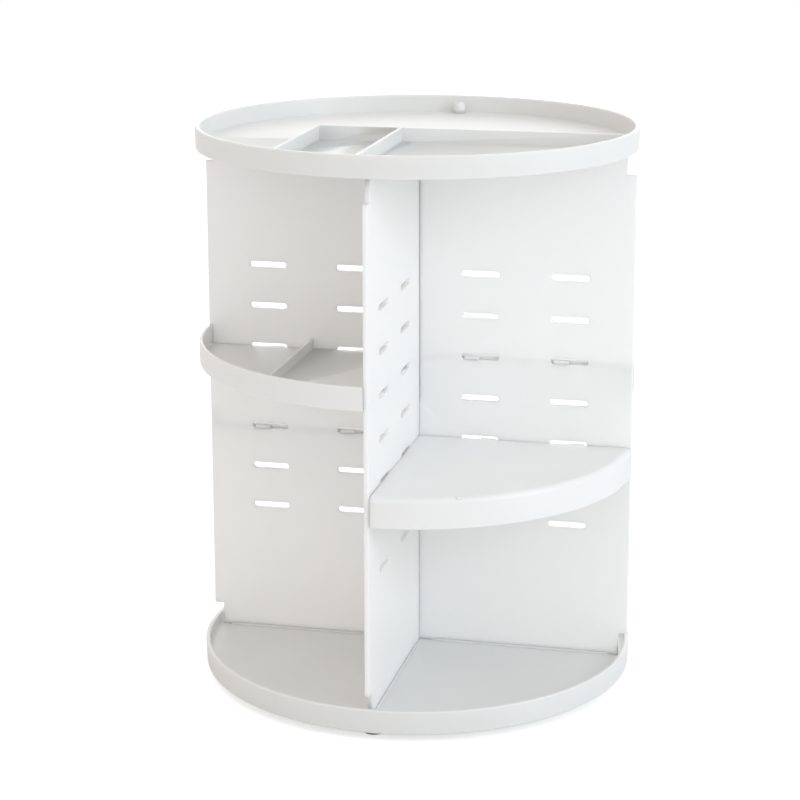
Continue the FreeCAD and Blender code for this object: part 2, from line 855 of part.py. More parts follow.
def main():
    """Build every piece, check the document and write one STEP file for each."""
    fill_sheet()
    pieces = [make_foot_disc(), *make_rubber_feet(), make_lower_race()]
    pieces += [make_cage(), make_balls()]
    pieces += [make_upper_race(), make_race_screws(), make_base_tray()]
    pieces += [make_centre_washer(), make_centre_screw()]
    pieces.append(make_board("board_left_right", 0, slot_from_top=True))
    pieces.append(make_board("board_front_rear", 90, slot_from_top=False))
    pieces.append(make_top_tray())
    pieces.append(make_shelf("shelf_rear_right", 0, "upper_shelf_row", flat=True))
    pieces.append(make_shelf("shelf_rear_left", 1, "lower_shelf_row", flat=False))
    pieces.append(make_shelf("shelf_front_left", 2, "upper_shelf_row", flat=False))
    pieces.append(make_shelf("shelf_front_right", 3, "lower_shelf_row", flat=True))
    doc.recompute()
    check(pieces)
    os.makedirs("parts", exist_ok=True)
    for piece in pieces:
        piece.Shape.exportStep("parts/%s.step" % piece.Label)
        box = piece.Shape.BoundBox
        print("%-20s %2d solids, %7.1f x %7.1f x %7.1f mm" % (
            piece.Label, len(piece.Shape.Solids), box.XLength, box.YLength, box.ZLength))


main()
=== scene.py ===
"""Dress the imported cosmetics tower: softened plastic pieces, finishes, light and a camera.

Sizes are in millimetres in the classes and become metres when a mesh is published.
"""

import logging
import math
from collections.abc import Callable, Iterable, Sequence
from dataclasses import dataclass, field
from enum import Enum

import bmesh
import bpy
from mathutils import Matrix, Vector


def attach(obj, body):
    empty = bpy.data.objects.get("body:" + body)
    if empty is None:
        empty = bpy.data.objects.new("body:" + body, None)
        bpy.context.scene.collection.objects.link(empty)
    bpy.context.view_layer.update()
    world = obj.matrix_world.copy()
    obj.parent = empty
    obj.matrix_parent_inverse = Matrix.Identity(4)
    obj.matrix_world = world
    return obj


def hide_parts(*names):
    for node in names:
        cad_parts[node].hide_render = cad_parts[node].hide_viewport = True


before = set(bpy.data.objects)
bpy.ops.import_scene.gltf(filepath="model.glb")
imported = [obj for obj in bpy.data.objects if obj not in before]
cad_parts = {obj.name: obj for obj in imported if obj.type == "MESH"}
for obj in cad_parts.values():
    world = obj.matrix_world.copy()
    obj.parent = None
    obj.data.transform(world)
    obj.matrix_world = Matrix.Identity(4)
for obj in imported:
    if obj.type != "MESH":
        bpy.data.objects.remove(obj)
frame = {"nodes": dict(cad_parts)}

LOG = logging.getLogger("organizer")
MM = 0.001
FULL_TURN = 2 * math.pi
ORIGIN = (0.0, 0.0, 0.0)
UP = (0.0, 0.0, 1.0)

# Millimetres, for telling where a vertex lies.
WELD = 1e-4
ON_PLANE = 1e-3
ON_RING = 0.02

SHARP = math.radians(30)
ROUND_STEPS = 192
SUNK = 0.5
WHITE = (1.0, 1.0, 1.0)

Point = tuple[float, float]
Colour = tuple[float, float, float]
EdgeTest = Callable[[bmesh.types.BMEdge], bool]


class Body(str, Enum):
    """The bodies that the pieces ride on."""

    TOWER = "tower"
    FOOT = "foot"


class Slot(str, Enum):
    """The record's material slots."""

    TRAY = "tray_plastic"
    BOARD = "board_plastic"
    SHELF = "shelf_plastic"


class Quarter(Enum):
    """The four quarters of the tower, as quarter turns from +X +Y."""

    REAR_RIGHT = 0
    REAR_LEFT = 1
    FRONT_LEFT = 2
    FRONT_RIGHT = 3

    @property
    def node(self) -> str:
        """The name of the shelf that hangs in this quarter."""
        return "shelf_" + self.name.lower()


# ---------------------------------------------------------------- mesh tools


def lathe(profile: Sequence[Point], start: float, sweep: float, steps: int) -> bmesh.types.BMesh:
    """Turn a profile about the upright axis.

    Args:
        profile: radius and height of each corner, from one end to the other.
        start: angle of the first section, in radians.
        sweep: angle turned, in radians; a full turn closes on itself.
        steps: sections in the sweep.

    Returns:
        A new bmesh of the turned skin, poles merged.
    """
    bm = bmesh.new()
    verts = [bm.verts.new((radius, 0.0, height)) for radius, height in profile]
    edges = [bm.edges.new(pair) for pair in zip(verts, verts[1:])]
    if profile[0][0] > 0 and profile[-1][0] > 0:
        edges.append(bm.edges.new((verts[-1], verts[0])))
    bmesh.ops.rotate(bm, verts=verts, cent=ORIGIN, matrix=Matrix.Rotation(start, 3, "Z"))
    bmesh.ops.spin(
        bm,
        geom=verts + edges,
        cent=ORIGIN,
        axis=UP,
        angle=sweep,
        steps=steps,
        use_merge=math.isclose(sweep, FULL_TURN),
    )
    bmesh.ops.remove_doubles(bm, verts=bm.verts[:], dist=WELD)
    bmesh.ops.recalc_face_normals(bm, faces=bm.faces[:])
    return bm


def block(low: Sequence[float], high: Sequence[float]) -> bmesh.types.BMesh:
    """Make a box between two corners.

    Args:
        low: the lowest corner.
        high: the highest corner.

    Returns:
        A new bmesh with the box.
    """
    bm = bmesh.new()
    size = [top - bottom for bottom, top in zip(low, high)]
    middle = [(top + bottom) / 2 for bottom, top in zip(low, high)]
    bmesh.ops.create_cube(bm, size=1.0)
    bmesh.ops.scale(bm, vec=size, verts=bm.verts[:])
    bmesh.ops.translate(bm, vec=middle, verts=bm.verts[:])
    return bm


def stud(
    centre: Point, bottom: float, radius: float, height: float, dome: float
) -> bmesh.types.BMesh:
    """Make an upright round stud with a domed top.

    Args:
        centre: its place on the plan.
        bottom: height of its foot.
        radius: its radius.
        height: its height.
        dome: radius of its rounded top edge.

    Returns:
        A new bmesh with the stud.
    """
    bm = bmesh.new()
    bmesh.ops.create_cone(
        bm, cap_ends=True, segments=48, radius1=radius, radius2=radius, depth=height
    )
    bmesh.ops.translate(bm, vec=(*centre, bottom + height / 2), verts=bm.verts[:])
    top = bottom + height
    soften(bm, dome, 5, lambda edge: all(abs(v.co.z - top) < WELD for v in edge.verts))
    return bm


def soften(
    bm: bmesh.types.BMesh, width: float, segments: int, chosen: EdgeTest | None = None
) -> None:
    """Round the sharp edges of a mesh.

    Args:
        bm: the mesh to work on.
        width: how far the rounding reaches from each edge.
        segments: faces across the rounding.
        chosen: picks among the edges sharper than SHARP; without it, all of them are rounded.
    """
    edges = [
        edge
        for edge in bm.edges
        if len(edge.link_faces) == 2
        and edge.calc_face_angle(0.0) > SHARP
        and (chosen is None or chosen(edge))
    ]
    bmesh.ops.bevel(
        bm,
        geom=edges,
        offset=width,
        offset_type="OFFSET",
        segments=segments,
        profile=0.5,
        affect="EDGES",
        clamp_overlap=True,
        material=-1,
    )


def ring_at(radius: float, height: float) -> EdgeTest:
    """Pick the edges of one level ring about the upright axis.

    Args:
        radius: the ring's radius.
        height: the ring's height.

    Returns:
        A test for edges.
    """

    def test(edge: bmesh.types.BMEdge) -> bool:
        return all(
            abs(math.hypot(v.co.x, v.co.y) - radius) < ON_RING
            and abs(v.co.z - height) < ON_RING
            for v in edge.verts
        )

    return test


def quarter_cut(bm: bmesh.types.BMesh, edge: float) -> None:
    """Cut a turned skin to the quarter past two lines and close both cuts.

    Args:
        bm: the mesh to cut, with its axis at the origin.
        edge: how far each line lies from the axis.
    """
    for away in ((-1.0, 0.0, 0.0), (0.0, -1.0, 0.0)):
        geom = bm.verts[:] + bm.edges[:] + bm.faces[:]
        bmesh.ops.bisect_plane(
            bm, geom=geom, dist=1e-5, plane_co=(edge, edge, 0.0), plane_no=away, clear_outer=True
        )
    corner = [v for v in bm.verts if max(abs(v.co.x - edge), abs(v.co.y - edge)) < ON_PLANE]
    bm.edges.new(corner)
    for axis in (0, 1):
        ring = [
            line
            for line in bm.edges
            if len(line.link_faces) < 2
            and all(abs(v.co[axis] - edge) < ON_PLANE for v in line.verts)
        ]
        bmesh.ops.edgeloop_fill(bm, edges=ring)


def join(parts: Iterable[bmesh.types.BMesh]) -> bmesh.types.BMesh:
    """Put several meshes into one and free them.

    Args:
        parts: the meshes, each with its own closed skin.

    Returns:
        A new bmesh that holds them all.
    """
    whole = bmesh.new()
    for part in parts:
        carrier = bpy.data.meshes.new("carrier")
        part.to_mesh(carrier)
        part.free()
        whole.from_mesh(carrier)
        bpy.data.meshes.remove(carrier)
    return whole


def publish(
    name: str,
    bm: bmesh.types.BMesh,
    body: str,
    slot: Slot,
    material: bpy.types.Material,
    stands_for: str,
    fuse: bool = False,
) -> bpy.types.Object:
    """Make a finished piece of a mesh and hang it on its body.

    Args:
        name: the piece's name.
        bm: its shape in millimetres; it is freed.
        body: the body it rides on.
        slot: the record's material slot; not used.
        material: its finish.
        stands_for: the node that it replaces.
        fuse: whether its closed forms overlap and become one skin.

    Returns:
        The new object.
    """
    bmesh.ops.scale(bm, vec=(MM, MM, MM), verts=bm.verts[:])
    for face in bm.faces:
        face.smooth = True
    mesh = bpy.data.meshes.new(name)
    bm.to_mesh(mesh)
    bm.free()
    mesh.materials.append(material)
    piece = bpy.data.objects.new(name, mesh)
    bpy.context.scene.collection.objects.link(piece)
    if fuse:
        union = piece.modifiers.new("one_skin", "BOOLEAN")
        union.operation = "UNION"
        union.solver = "EXACT"
        union.operand_type = "COLLECTION"
        union.use_self = True
    normals = piece.modifiers.new("even_normals", "WEIGHTED_NORMAL")
    normals.mode = "FACE_AREA"
    normals.weight = 90
    normals.keep_sharp = True
    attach(piece, body)
    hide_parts(stands_for)
    LOG.info("%s: %d faces on %s", name, len(mesh.polygons), body)
    return piece


# ---------------------------------------------------------------- finishes


def new_group(name: str, inputs: dict[str, str], outputs: dict[str, str]) -> bpy.types.NodeTree:
    """Start a shader node group.

    Args:
        name: the group's name.
        inputs: socket types by input name.
        outputs: socket types by output name.

    Returns:
        The group with its input and output nodes.
    """
    group = bpy.data.node_groups.new(name, "ShaderNodeTree")
    for sockets, side in ((inputs, "INPUT"), (outputs, "OUTPUT")):
        for socket, kind in sockets.items():
            group.interface.new_socket(name=socket, in_out=side, socket_type=kind)
    group.nodes.new("NodeGroupInput")
    group.nodes.new("NodeGroupOutput")
    return group


def wire(tree: bpy.types.NodeTree, source: tuple[str, str], target: tuple[str, str]) -> None:
    """Link two sockets, each given as a node's name and a socket's name.

    Args:
        tree: the tree that holds both nodes.
        source: where the value comes from.
        target: where it goes.
    """
    tree.links.new(
        tree.nodes[source[0]].outputs[source[1]], tree.nodes[target[0]].inputs[target[1]]
    )


def add(tree: bpy.types.NodeTree, kind: str, name: str, **settings: object) -> bpy.types.Node:
    """Add a named node.

    Args:
        tree: the tree it goes into.
        kind: the node's type.
        name: its name in the tree.
        settings: the node's own properties.

    Returns:
        The node.
    """
    node = tree.nodes.new(kind)
    node.name = name
    for key, value in settings.items():
        setattr(node, key, value)
    return node


def mottle_group() -> bpy.types.NodeTree:
    """Soft clouds between two colours, as a mould's flow leaves them."""
    group = new_group(
        "Moulded mottle",
        {
            "Vector": "NodeSocketVector",
            "Colour": "NodeSocketColor",
            "Shade": "NodeSocketColor",
            "Cloud Scale": "NodeSocketFloat",
        },
        {"Colour": "NodeSocketColor"},
    )
    add(group, "ShaderNodeTexNoise", "clouds")
    group.nodes["clouds"].inputs["Detail"].default_value = 3.0
    add(group, "ShaderNodeMapRange", "spread")
    group.nodes["spread"].inputs["From Min"].default_value = 0.35
    group.nodes["spread"].inputs["From Max"].default_value = 0.65
    add(group, "ShaderNodeMix", "blend", data_type="RGBA")
    blend = group.nodes["blend"]
    colours = [socket for socket in blend.inputs if socket.type == "RGBA"]
    wire(group, ("Group Input", "Vector"), ("clouds", "Vector"))
    wire(group, ("Group Input", "Cloud Scale"), ("clouds", "Scale"))
    wire(group, ("clouds", "Fac"), ("spread", "Value"))
    group.links.new(group.nodes["spread"].outputs["Result"], blend.inputs["Factor"])
    group.links.new(group.nodes["Group Input"].outputs["Colour"], colours[0])
    group.links.new(group.nodes["Group Input"].outputs["Shade"], colours[1])
    mixed = next(socket for socket in blend.outputs if socket.type == "RGBA")
    group.links.new(mixed, group.nodes["Group Output"].inputs["Colour"])
    return group


def grain_group() -> bpy.types.NodeTree:
    """The fine grain of a mould's surface, with the gloss that goes with it."""
    group = new_group(
        "Mould grain",
        {
            "Vector": "NodeSocketVector",
            "Grain Scale": "NodeSocketFloat",
            "Rub Scale": "NodeSocketFloat",
            "Smoothest": "NodeSocketFloat",
            "Roughest": "NodeSocketFloat",
        },
        {"Roughness": "NodeSocketFloat", "Height": "NodeSocketFloat"},
    )
    add(group, "ShaderNodeTexNoise", "grain")
    group.nodes["grain"].inputs["Detail"].default_value = 2.0
    add(group, "ShaderNodeTexNoise", "rub")
    group.nodes["rub"].inputs["Detail"].default_value = 4.0
    add(group, "ShaderNodeMapRange", "gloss")
    group.nodes["gloss"].inputs["From Min"].default_value = 0.3
    group.nodes["gloss"].inputs["From Max"].default_value = 0.7
    wire(group, ("Group Input", "Vector"), ("grain", "Vector"))
    wire(group, ("Group Input", "Vector"), ("rub", "Vector"))
    wire(group, ("Group Input", "Grain Scale"), ("grain", "Scale"))
    wire(group, ("Group Input", "Rub Scale"), ("rub", "Scale"))
    wire(group, ("rub", "Fac"), ("gloss", "Value"))
    wire(group, ("Group Input", "Smoothest"), ("gloss", "To Min"))
    wire(group, ("Group Input", "Roughest"), ("gloss", "To Max"))
    wire(group, ("gloss", "Result"), ("Group Output", "Roughness"))
    wire(group, ("grain", "Fac"), ("Group Output", "Height"))
    return group


@dataclass(frozen=True)
class Finish:
    """A moulded, turned or cast surface made of mottle and grain.

    Colours are linear. Scales are waves to a metre.
    """

    name: str
    colour: Colour
    shade: Colour
    cloud_scale: float = 22.0
    grain_scale: float = 420.0
    rub_scale: float = 60.0
    smoothest: float = 0.3
    roughest: float = 0.4
    bump: float = 0.02
    metallic: float = 0.0
    milkiness: float = 0.0
    light_reach: float = 0.002
    stretch: tuple[float, float, float] = (1.0, 1.0, 1.0)
    grain_depth: float = 0.0004
    ior: float = 1.49
    reach_by_colour: Colour = (1.0, 0.97, 0.93)

    def material(self, mottle: bpy.types.NodeTree, grain: bpy.types.NodeTree) -> bpy.types.Material:
        """Build the material.

        Args:
            mottle: the group that clouds the colour.
            grain: the group for grain and gloss.

        Returns:
            The new material.
        """
        material = bpy.data.materials.new(self.name)
        material.use_nodes = True
        tree = material.node_tree
        shader = tree.nodes["Principled BSDF"]
        add(tree, "ShaderNodeTexCoord", "place")
        mapping = add(tree, "ShaderNodeMapping", "mapping")
        mapping.inputs["Scale"].default_value = self.stretch
        clouds = add(tree, "ShaderNodeGroup", "mottle", node_tree=mottle)
        clouds.inputs["Colour"].default_value = (*self.colour, 1.0)
        clouds.inputs["Shade"].default_value = (*self.shade, 1.0)
        clouds.inputs["Cloud Scale"].default_value = self.cloud_scale
        fine = add(tree, "ShaderNodeGroup", "grain", node_tree=grain)
        fine.inputs["Grain Scale"].default_value = self.grain_scale
        fine.inputs["Rub Scale"].default_value = self.rub_scale
        fine.inputs["Smoothest"].default_value = self.smoothest
        fine.inputs["Roughest"].default_value = self.roughest
        bump = add(tree, "ShaderNodeBump", "bump")
        bump.inputs["Strength"].default_value = self.bump
        bump.inputs["Distance"].default_value = self.grain_depth
        shader.inputs["Metallic"].default_value = self.metallic
        shader.inputs["IOR"].default_value = self.ior
        shader.inputs["Subsurface Weight"].default_value = self.milkiness
        shader.inputs["Subsurface Radius"].default_value = self.reach_by_colour
        shader.inputs["Subsurface Scale"].default_value = self.light_reach
        wire(tree, ("place", "Object"), ("mapping", "Vector"))
        for target in ("mottle", "grain"):
            wire(tree, ("mapping", "Vector"), (target, "Vector"))
        wire(tree, ("mottle", "Colour"), ("Principled BSDF", "Base Color"))
        wire(tree, ("grain", "Roughness"), ("Principled BSDF", "Roughness"))
        wire(tree, ("grain", "Height"), ("bump", "Height"))
        wire(tree, ("bump", "Normal"), ("Principled BSDF", "Normal"))
        return material


TRAY_WHITE = Finish(
    name="satin white tray plastic",
    colour=(0.83, 0.833, 0.825),
    shade=(0.81, 0.813, 0.803),
    smoothest=0.3,
    roughest=0.39,
    milkiness=0.6,
)
BOARD_WHITE = Finish(
    name="translucent white board plastic",
    colour=(0.93, 0.93, 0.917),
    shade=(0.915, 0.915, 0.902),
    smoothest=0.34,
    roughest=0.46,
    milkiness=1.0,
    light_reach=0.004,
    stretch=(1.0, 1.0, 0.25),
)
SHELF_WHITE = Finish(
    name="satin white shelf plastic",
    colour=(0.885, 0.885, 0.877),
    shade=(0.87, 0.87, 0.862),
    smoothest=0.3,
    roughest=0.4,
    milkiness=0.5,
    light_reach=0.003,
)
FOOT_WHITE = Finish(
    name="matt white foot plastic",
    colour=(0.8, 0.8, 0.79),
    shade=(0.77, 0.77, 0.76),
    smoothest=0.5,
    roughest=0.62,
    bump=0.12,
)
RACE_WHITE = Finish(
    name="off-white slippery plastic",
    colour=(0.74, 0.74, 0.71),
    shade=(0.7, 0.7, 0.67),
    smoothest=0.4,
    roughest=0.5,
    bump=0.08,
)
STEEL = Finish(
    name="polished steel",
    colour=(0.62, 0.62, 0.63),
    shade=(0.56, 0.56, 0.57),
    cloud_scale=90.0,
    grain_scale=2600.0,
    smoothest=0.14,
    roughest=0.24,
    bump=0.03,
    metallic=1.0,
)
RUBBER = Finish(
    name="soft grey rubber",
    colour=(0.5, 0.5, 0.5),
    shade=(0.44, 0.44, 0.44),
    cloud_scale=160.0,
    smoothest=0.72,
    roughest=0.85,
    bump=0.3,
)


@dataclass
class Palette:
    """Every finish as a material, made once."""

    mottle: bpy.types.NodeTree = field(default_factory=mottle_group)
    grain: bpy.types.NodeTree = field(default_factory=grain_group)
    made: dict[str, bpy.types.Material] = field(default_factory=dict)

    def of(self, finish: Finish) -> bpy.types.Material:
        """The material of a finish."""
        if finish.name not in self.made:
            self.made[finish.name] = finish.material(self.mottle, self.grain)
        return self.made[finish.name]


# ---------------------------------------------------------------- sub-assemblies


@dataclass
class BaseTray:
    """The rimmed base that carries the boards and turns on the foot."""

    radius: float = 115.0
    wall: float = 2.5
    lower_radius: float = 114.5
    rim_foot: float = 4.5
    rim_top: float = 17.0
    underside: float = 10.0
    floor: float = 12.0
    edge_round: float = 0.8
    pivot_radius: float = 6.0
    pivot_foot: float = 3.5
    screw_bore: float = 1.55
    screw_bore_top: float = 9.6
    rib_height: float = 1.0
    rib_near: float = 1.3
    rib_wall: float = 1.2
    rib_start: float = 9.0
    rib_end: float = 105.0
    rib_round: float = 0.25
    floor_round: float = 0.5
    foot_round: float = 0.4

    def turned(self) -> bmesh.types.BMesh:
        """The tray's turned form."""
        inside = self.radius - self.wall
        low_inside = self.lower_radius - self.wall
        bm = lathe(
            [
                (0.0, self.screw_bore_top),
                (self.screw_bore, self.screw_bore_top),
                (self.screw_bore, self.pivot_foot),
                (self.pivot_radius, self.pivot_foot),
                (self.pivot_radius, self.underside),
                (inside, self.underside),
                (low_inside, self.rim_foot),
                (self.lower_radius, self.rim_foot),
                (self.radius, self.rim_top),
                (inside, self.rim_top),
                (inside, self.floor),
                (0.0, self.floor),
            ],
            0.0,
            FULL_TURN,
            ROUND_STEPS,
        )
        for radius, height in (
            (self.radius, self.rim_top),
            (inside, self.rim_top),
            (self.lower_radius, self.rim_foot),
        ):
            soften(bm, self.edge_round, 4, ring_at(radius, height))
        soften(bm, self.floor_round, 3, ring_at(inside, self.floor))
        soften(bm, self.foot_round, 2, ring_at(low_inside, self.rim_foot))
        return bm

    def ribs(self) -> Iterable[bmesh.types.BMesh]:
        """The low ribs on both sides of each board's foot."""
        far = self.rib_near + self.rib_wall
        for along in (1, -1):
            for across in (1, -1):
                spans = sorted((along * self.rib_start, along * self.rib_end))
                faces = sorted((across * self.rib_near, across * far))
                for turn in (0.0, math.pi / 2):
                    rib = block(
                        (spans[0], faces[0], self.floor - SUNK),
                        (spans[1], faces[1], self.floor + self.rib_height),
                    )
                    soften(rib, self.rib_round, 2)
                    matrix = Matrix.Rotation(turn, 3, "Z")
                    bmesh.ops.rotate(rib, verts=rib.verts[:], cent=ORIGIN, matrix=matrix)
                    yield rib

    def build(self, palette: Palette) -> bpy.types.Object:
        """Build and dress the tray.

        Args:
            palette: the finishes.

        Returns:
            The tray.
        """
        bm = join([self.turned(), *self.ribs()])
        return publish(
            "base_tray_moulding",
            bm,
            Body.TOWER.value,
            Slot.TRAY,
            palette.of(TRAY_WHITE),
            "base_tray",
            fuse=True,
        )


@dataclass
class TopTray:
    """The divided tray on top of the boards."""

    radius: float = 115.0
    wall: float = 2.5
    foot: float = 284.0
    floor: float = 286.0
    rim_top: float = 295.5
    edge_round: float = 0.8
    divider_wall: float = 1.6
    divider_height: float = 7.5
    cross_offset: float = 6.2
    inner_offset: float = 7.4
    outer_offset: float = 51.6
    boss_radius: float = 3.3
    boss_height: float = 6.4
    boss_dome: float = 0.8
    floor_round: float = 0.6
    divider_round: float = 0.35

    def turned(self) -> bmesh.types.BMesh:
        """The tray's turned form."""
        inside = self.radius - self.wall
        bm = lathe(
            [
                (0.0, self.foot),
                (self.radius, self.foot),
                (self.radius, self.rim_top),
                (inside, self.rim_top),
                (inside, self.floor),
                (0.0, self.floor),
            ],
            0.0,
            FULL_TURN,
            ROUND_STEPS,
        )
        for radius, height in (
            (self.radius, self.rim_top),
            (inside, self.rim_top),
            (self.radius, self.foot),
        ):
            soften(bm, self.edge_round, 4, ring_at(radius, height))
        soften(bm, self.floor_round, 3, ring_at(inside, self.floor))
        return bm

    def dividers(self) -> Iterable[bmesh.types.BMesh]:
        """The long cross divider and the two short ones in front of it."""
        half = self.divider_wall / 2
        root = self.radius - self.wall / 2
        foot = self.floor - SUNK
        top = self.floor + self.divider_height
        reach = math.sqrt(root**2 - self.cross_offset**2)
        yield block(
            (-self.outer_offset - half, -self.cross_offset - half, foot),
            (reach, -self.cross_offset + half, top),
        )
        for offset in (self.inner_offset, self.outer_offset):
            reach = math.sqrt(root**2 - offset**2)
            yield block(
                (-offset - half, -reach, foot), (-offset + half, -self.cross_offset, top)
            )

    def bosses(self) -> Iterable[bmesh.types.BMesh]:
        """The two round bosses at the rim, front and rear."""
        place = self.radius - self.wall - self.boss_radius - self.edge_round / 2
        for side in (1, -1):
            yield stud(
                (0.0, side * place),
                self.floor - SUNK,
                self.boss_radius,
                self.boss_height + SUNK,
                self.boss_radius * self.boss_dome,
            )

    def build(self, palette: Palette) -> bpy.types.Object:
        """Build and dress the tray.

        Args:
            palette: the finishes.

        Returns:
            The tray.
        """
        walls = list(self.dividers())
        for wall in walls:
            soften(wall, self.divider_round, 3)
        bm = join([self.turned(), *walls, *self.bosses()])
        return publish(
            "top_tray_moulding",
            bm,
            Body.TOWER.value,
            Slot.TRAY,
            palette.of(TRAY_WHITE),
            "top_tray",
            fuse=True,
        )


@dataclass
class Board:
    """An upright board across the tower, with rows of hanging slots."""

    node: str
    turn: float
    open_at_top: bool
    half_width: float = 115.0
    thickness: float = 2.5
    foot: float = 12.0
    top: float = 284.0
    notch_width: float = 5.0
    notch_height: float = 12.0
    halving: float = 2.6
    slot_length: float = 20.0
    slot_height: float = 3.2
    lowest_row: float = 82.8
    row_pitch: float = 22.33
    rows: int = 7
    columns: tuple[float, ...] = (-81.5, -34.0, 34.0, 81.5)
    edge_round: float = 0.3
    slot_segments: int = 20

    def outline(self) -> list[Point]:
        """The board's outer line, with the halving cut and the corner notches."""
        wide, narrow = self.half_width, self.half_width - self.notch_width
        low, high = self.foot + self.notch_height, self.top - self.notch_height
        gap, middle = self.halving / 2, (self.foot + self.top) / 2
        foot = [(-narrow, self.foot), (narrow, self.foot)]
        head = [(narrow, self.top), (-narrow, self.top)]
        if self.open_at_top:
            head[1:1] = [(gap, self.top), (gap, middle), (-gap, middle), (-gap, self.top)]
        else:
            foot[1:1] = [(-gap, self.foot), (-gap, middle), (gap, middle), (gap, self.foot)]
        right = [(narrow, low), (wide, low), (wide, high), (narrow, high)]
        left = [(-narrow, high), (-wide, high), (-wide, low), (-narrow, low)]
        return [*foot, *right, *head, *left]

    def slot_line(self, bm: bmesh.types.BMesh, across: float, up: float) -> None:
        """Draw one slot's line.

        Args:
            bm: the mesh that gets the line.
            across: the slot's middle across the board.
            up: the slot's middle height.
        """
        radius = self.slot_height / 2
        run = self.slot_length / 2 - radius
        count = self.slot_segments
        ring = bmesh.ops.create_circle(bm, cap_ends=False, segments=count, radius=radius)["verts"]
        turn = Matrix.Rotation(math.pi / count, 3, "Z")
        bmesh.ops.rotate(bm, verts=ring, cent=ORIGIN, matrix=turn)
        for side in (1, -1):
            half = [vert for vert in ring if vert.co.x * side > 0]
            bmesh.ops.translate(bm, vec=(side * run, 0.0, 0.0), verts=half)
        bmesh.ops.translate(bm, vec=(across, up, 0.0), verts=ring)

    def build(self, palette: Palette) -> bpy.types.Object:
        """Build and dress the board.

        Args:
            palette: the finishes.

        Returns:
            The board.
        """
        bm = bmesh.new()
        corners = [bm.verts.new((across, up, 0.0)) for across, up in self.outline()]
        for pair in zip(corners, corners[1:] + corners[:1]):
            bm.edges.new(pair)
        for row in range(self.rows):
            for column in self.columns:
                self.slot_line(bm, column, self.lowest_row + row * self.row_pitch)
        bmesh.ops.triangle_fill(
            bm, use_beauty=True, use_dissolve=False, edges=bm.edges[:], normal=UP
        )
        sheet = bmesh.ops.extrude_face_region(bm, geom=bm.faces[:])["geom"]
        lifted = [item for item in sheet if isinstance(item, bmesh.types.BMVert)]
        bmesh.ops.translate(bm, vec=(0.0, 0.0, self.thickness), verts=lifted)
        bmesh.ops.translate(bm, vec=(0.0, 0.0, -self.thickness / 2), verts=bm.verts[:])
        bmesh.ops.recalc_face_normals(bm, faces=bm.faces[:])
        soften(bm, self.edge_round, 2, self.on_face_rim)
        stand = Matrix.Rotation(self.turn, 3, "Z") @ Matrix.Rotation(math.pi / 2, 3, "X")
        bmesh.ops.rotate(bm, verts=bm.verts[:], cent=ORIGIN, matrix=stand)
        name = self.node + "_panel"
        finish = palette.of(BOARD_WHITE)
        return publish(name, bm, Body.TOWER.value, Slot.BOARD, finish, self.node)

    def on_face_rim(self, edge: bmesh.types.BMEdge) -> bool:
        """Whether an edge bounds one of the board's two faces, away from the halving cut."""
        ends = [vert.co for vert in edge.verts]
        in_cut = all(abs(end.x) < self.halving for end in ends)
        return ends[0].z * ends[1].z > 0 and not in_cut


@dataclass
class Shelf:
    """A quarter shelf on tongues. Subclasses say how its rim runs."""

    quarter: Quarter
    slot_level: float
    radius: float = 115.0
    rim_wall: float = 2.0
    plate: float = 2.0
    plate_lift: float = 0.1
    edge: float = 1.4
    depth: float = 12.4
    shoulder: float = 1.0
    tongue_width: float = 8.0
    tongue_offset: float = 4.4
    tongue_tip: float = 1.05
    tongue_bottom: float = -1.55
    tongue_top: float = 0.03
    tongue_root: float = 1.0
    tongue_round: float = 0.3
    cut_margin: float = math.radians(4)
    turn_steps: int = 56
    columns: tuple[float, ...] = (34.0, 81.5)

    @property
    def face(self) -> float:
        """Height of the plate's top over the slots' middle."""
        return self.plate_lift

    @property
    def belly(self) -> float:
        """Height of the plate's underside over the slots' middle."""
        return self.plate_lift - self.plate

    def profile(self) -> list[Point]:
        """The section from the axis outwards and back."""
        raise NotImplementedError

    def roundings(self) -> list[tuple[Point, float]]:
        """The rings to round, with their radii."""
        raise NotImplementedError

    def extras(self) -> Iterable[bmesh.types.BMesh]:
        """What stands on the plate."""
        return []

    def shell(self) -> bmesh.types.BMesh:
        """The plate and rim, trimmed to the boards."""
        margin = self.cut_margin
        bm = lathe(self.profile(), -margin, math.pi / 2 + 2 * margin, self.turn_steps)
        for (radius, height), width in self.roundings():
            soften(bm, width, 5, ring_at(radius, height))
        quarter_cut(bm, self.edge)
        bmesh.ops.recalc_face_normals(bm, faces=bm.faces[:])
        return bm

    def tongues(self) -> Iterable[bmesh.types.BMesh]:
        """The four tongues that hang in the boards' slots."""
        root = self.edge + self.tongue_root
        half = self.tongue_width / 2
        for place in self.columns:
            inner, outer = place - self.tongue_offset, place + self.tongue_offset
            for low, high in (
                ((inner - half, -self.tongue_tip), (inner + half, root)),
                ((-self.tongue_tip, outer - half), (root, outer + half)),
            ):
                tongue = block((*low, self.tongue_bottom), (*high, self.tongue_top))
                soften(tongue, self.tongue_round, 2)
                yield tongue

    def build(self, palette: Palette) -> bpy.types.Object:
        """Build and dress the shelf.

        Args:
            palette: the finishes.

        Returns:
            The shelf.
        """
        bm = join([self.shell(), *self.tongues(), *self.extras()])
        turn = Matrix.Rotation(self.quarter.value * math.pi / 2, 3, "Z")
        bmesh.ops.rotate(bm, verts=bm.verts[:], cent=ORIGIN, matrix=turn)
        bmesh.ops.translate(bm, vec=(0.0, 0.0, self.slot_level), verts=bm.verts[:])
        node = self.quarter.node
        finish = palette.of(SHELF_WHITE)
        return publish(node + "_moulding", bm, node, Slot.SHELF, finish, node, fuse=True)


